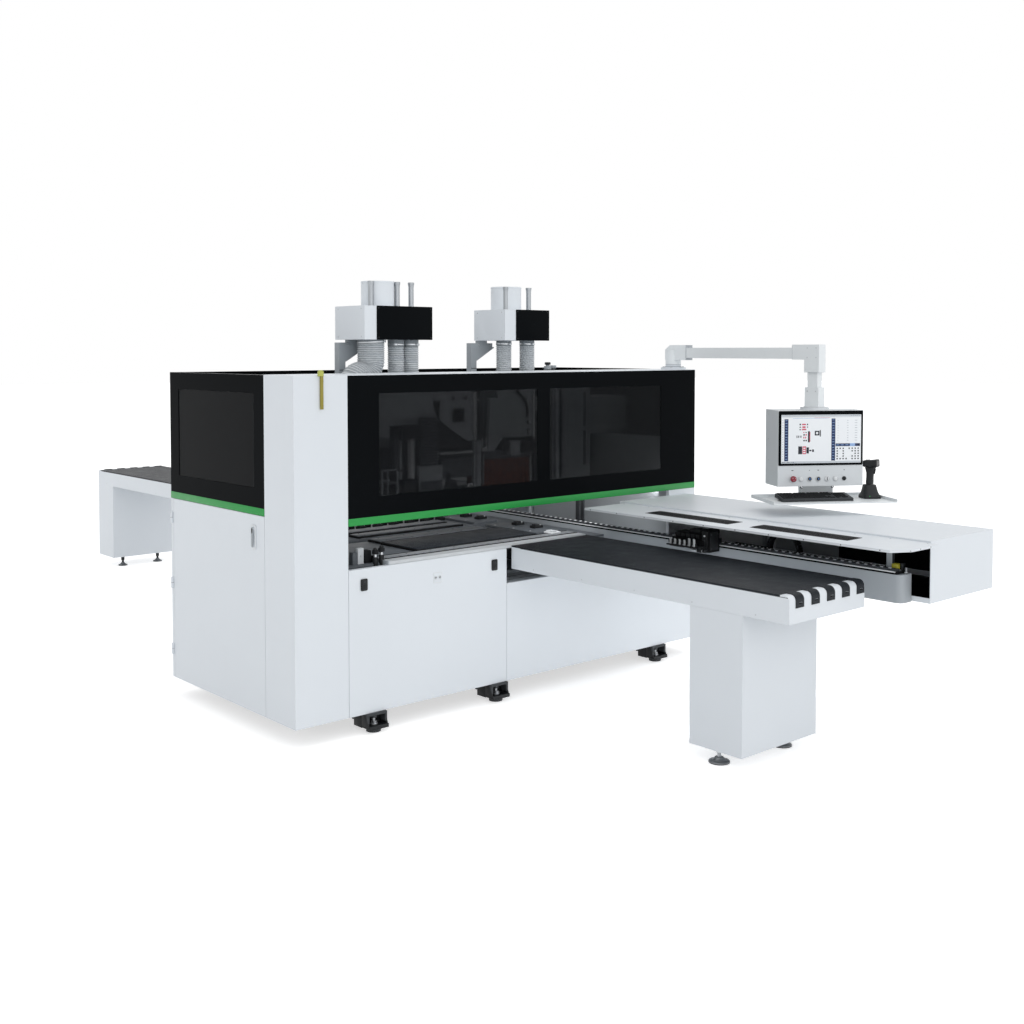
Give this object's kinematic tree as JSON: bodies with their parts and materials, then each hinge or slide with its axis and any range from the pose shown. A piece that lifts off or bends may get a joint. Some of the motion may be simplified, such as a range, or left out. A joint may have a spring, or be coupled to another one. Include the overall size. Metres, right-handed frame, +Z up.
{
  "type": "six sided cnc drilling machine",
  "caption": "Enclosed CNC panel drilling machine with infeed and outfeed tables, clamp beam, dust extraction hoses and a swing-arm control panel.",
  "frame": {"origin": "centre of the whole machine's footprint, at floor level", "axes": "+X to the right along the cabinet's front, +Y from the infeed table to the outfeed table, +Z up"},
  "size_m": [3.1508, 7.7192, 2.293],
  "materials": {
    "white_paint": "satin",
    "grey_paint": "satin",
    "dark_paint": "satin",
    "black_gloss": "gloss",
    "black_metal": "anodised",
    "white_alloy": "powder coated",
    "steel": "brushed",
    "smoked_glass": "gloss",
    "display_plastic": "gloss",
    "table_top": "matte",
    "black_plastic": "matte",
    "drive_plastic": "matte",
    "hose_plastic": "satin",
    "lamp_plastic": "satin",
    "red_plastic": "gloss",
    "brown_rubber": "matte"
  },
  "bodies": {
    "machine": {"bed_frame": "dark_paint", "gantry_frame": "grey_paint", "corner_column": "white_paint", "front_fascia": "black_gloss", "front_glazing": "smoked_glass", "side_fascia": "black_gloss", "side_glazing": "smoked_glass", "rear_fascia": "black_gloss", "roof_strip": "white_paint", "front_cover": "white_paint", "rear_cover": "white_paint", "drive_panel": "drive_plastic", "work_table": "dark_paint", "clamp_beam": "grey_paint", "clamp_rail": "steel", "side_housing": "white_paint", "side_lid": "white_paint", "rear_housing": "white_paint", "front_table_frame": "white_paint", "front_table_top": "table_top", "front_leg": "white_paint", "rear_table_frame": "white_paint", "rear_table_top": "table_top", "front_foot_left": "steel", "front_foot_right": "steel", "rear_foot_left": "steel", "rear_foot_right": "steel", "warning_lamp": "lamp_plastic", "arm_base": "white_paint"},
    "electrical_door": {"electrical_door": "white_paint"},
    "door_handle": {"door_handle": "steel"},
    "access_cover": {"access_cover": "white_paint"},
    "cover_latch_left": {"cover_latch_left": "black_plastic"},
    "cover_latch_right": {"cover_latch_right": "black_plastic"},
    "swing_arm": {"swing_arm": "white_alloy"},
    "control_panel": {"panel_housing": "white_alloy", "display_panel": "display_plastic", "keyboard_tray": "white_alloy", "keyboard": "black_plastic", "scanner_cradle": "black_plastic"},
    "emergency_stop": {"emergency_stop": "red_plastic"},
    "barcode_scanner": {"barcode_scanner": "black_plastic"},
    "upper_unit_a": {"upper_carriage_a": "grey_paint", "dust_box_a": "white_paint", "hose_a_large": "hose_plastic", "hose_a_left": "hose_plastic", "hose_a_right": "hose_plastic"},
    "drill_head_a": {"drill_head_a": "dark_paint"},
    "upper_unit_b": {"upper_carriage_b": "grey_paint", "dust_box_b": "white_paint", "hose_b_left": "hose_plastic", "hose_b_right": "hose_plastic"},
    "drill_head_b": {"drill_head_b": "dark_paint", "dust_skirt_b": "brown_rubber"},
    "lower_carriage": {"lower_carriage": "grey_paint"},
    "lower_head": {"lower_head": "dark_paint"},
    "clamp_front": {"clamp_front": "black_metal"},
    "clamp_jaw_front": {"clamp_jaw_front": "steel"},
    "clamp_rear": {"clamp_rear": "black_metal"},
    "clamp_jaw_rear": {"clamp_jaw_rear": "steel"}
  },
  "joints": [
    {"name": "electrical_door_hinge", "type": "hinge", "parent": "machine", "child": "electrical_door", "pos_m": [-1.56109, -0.51665, 0.5995], "axis": [0, 0, -1], "range_deg": [0, 110]},
    {"name": "door_handle_hinge", "type": "hinge", "parent": "electrical_door", "child": "door_handle", "pos_m": [-1.56439, -1.41365, 1.041], "axis": [0, 1, 0], "range_deg": [0, 35]},
    {"name": "access_cover_slide", "type": "slide", "parent": "machine", "child": "access_cover", "axis": [0, -1, 0], "range_m": [0, 0.25]},
    {"name": "cover_latch_left_hinge", "type": "hinge", "parent": "access_cover", "child": "cover_latch_left", "pos_m": [-1.16409, -1.79395, 0.783], "axis": [-1, 0, 0], "range_deg": [0, 35]},
    {"name": "cover_latch_right_hinge", "type": "hinge", "parent": "access_cover", "child": "cover_latch_right", "pos_m": [-0.31109, -1.79395, 0.783], "axis": [-1, 0, 0], "range_deg": [0, 35]},
    {"name": "arm_swivel", "type": "hinge", "parent": "machine", "child": "swing_arm", "pos_m": [1.26891, -1.68865, 1.83], "axis": [0, 0, 1], "range_deg": [-40, 80]},
    {"name": "panel_swivel", "type": "hinge", "parent": "swing_arm", "child": "control_panel", "pos_m": [1.23891, -2.76765, 1.6], "axis": [0, 0, 1], "range_deg": [-60, 60]},
    {"name": "emergency_stop_press", "type": "slide", "parent": "control_panel", "child": "emergency_stop", "axis": [0.5329, 0.8462, 0], "range_m": [0, 0.006], "stiffness_N_per_m": 400},
    {"name": "scanner_lift", "type": "slide", "parent": "control_panel", "child": "barcode_scanner", "axis": [0, 0, 1], "range_m": [0, 0.15]},
    {"name": "upper_unit_a_travel", "type": "slide", "parent": "machine", "child": "upper_unit_a", "axis": [1, 0, 0], "range_m": [-0.28, 0.02]},
    {"name": "drill_head_a_feed", "type": "slide", "parent": "upper_unit_a", "child": "drill_head_a", "axis": [0, 0, -1], "range_m": [0, 0.12]},
    {"name": "upper_unit_b_travel", "type": "slide", "parent": "machine", "child": "upper_unit_b", "axis": [1, 0, 0], "range_m": [0, 0.14]},
    {"name": "drill_head_b_feed", "type": "slide", "parent": "upper_unit_b", "child": "drill_head_b", "axis": [0, 0, -1], "range_m": [0, 0.12]},
    {"name": "lower_carriage_travel", "type": "slide", "parent": "machine", "child": "lower_carriage", "axis": [1, 0, 0], "range_m": [-0.18, 0.18]},
    {"name": "lower_head_lift", "type": "slide", "parent": "lower_carriage", "child": "lower_head", "axis": [0, 0, 1], "range_m": [0, 0.06]},
    {"name": "clamp_front_travel", "type": "slide", "parent": "machine", "child": "clamp_front", "axis": [0, 1, 0], "range_m": [-0.9, 1.2]},
    {"name": "clamp_jaw_front_lift", "type": "slide", "parent": "clamp_front", "child": "clamp_jaw_front", "axis": [0, 0, 1], "range_m": [-0.02, 0.03]},
    {"name": "clamp_rear_travel", "type": "slide", "parent": "machine", "child": "clamp_rear", "axis": [0, 1, 0], "range_m": [-1.4, 0.68]},
    {"name": "clamp_jaw_rear_lift", "type": "slide", "parent": "clamp_rear", "child": "clamp_jaw_rear", "axis": [0, 0, 1], "range_m": [-0.02, 0.03]}
  ]
}
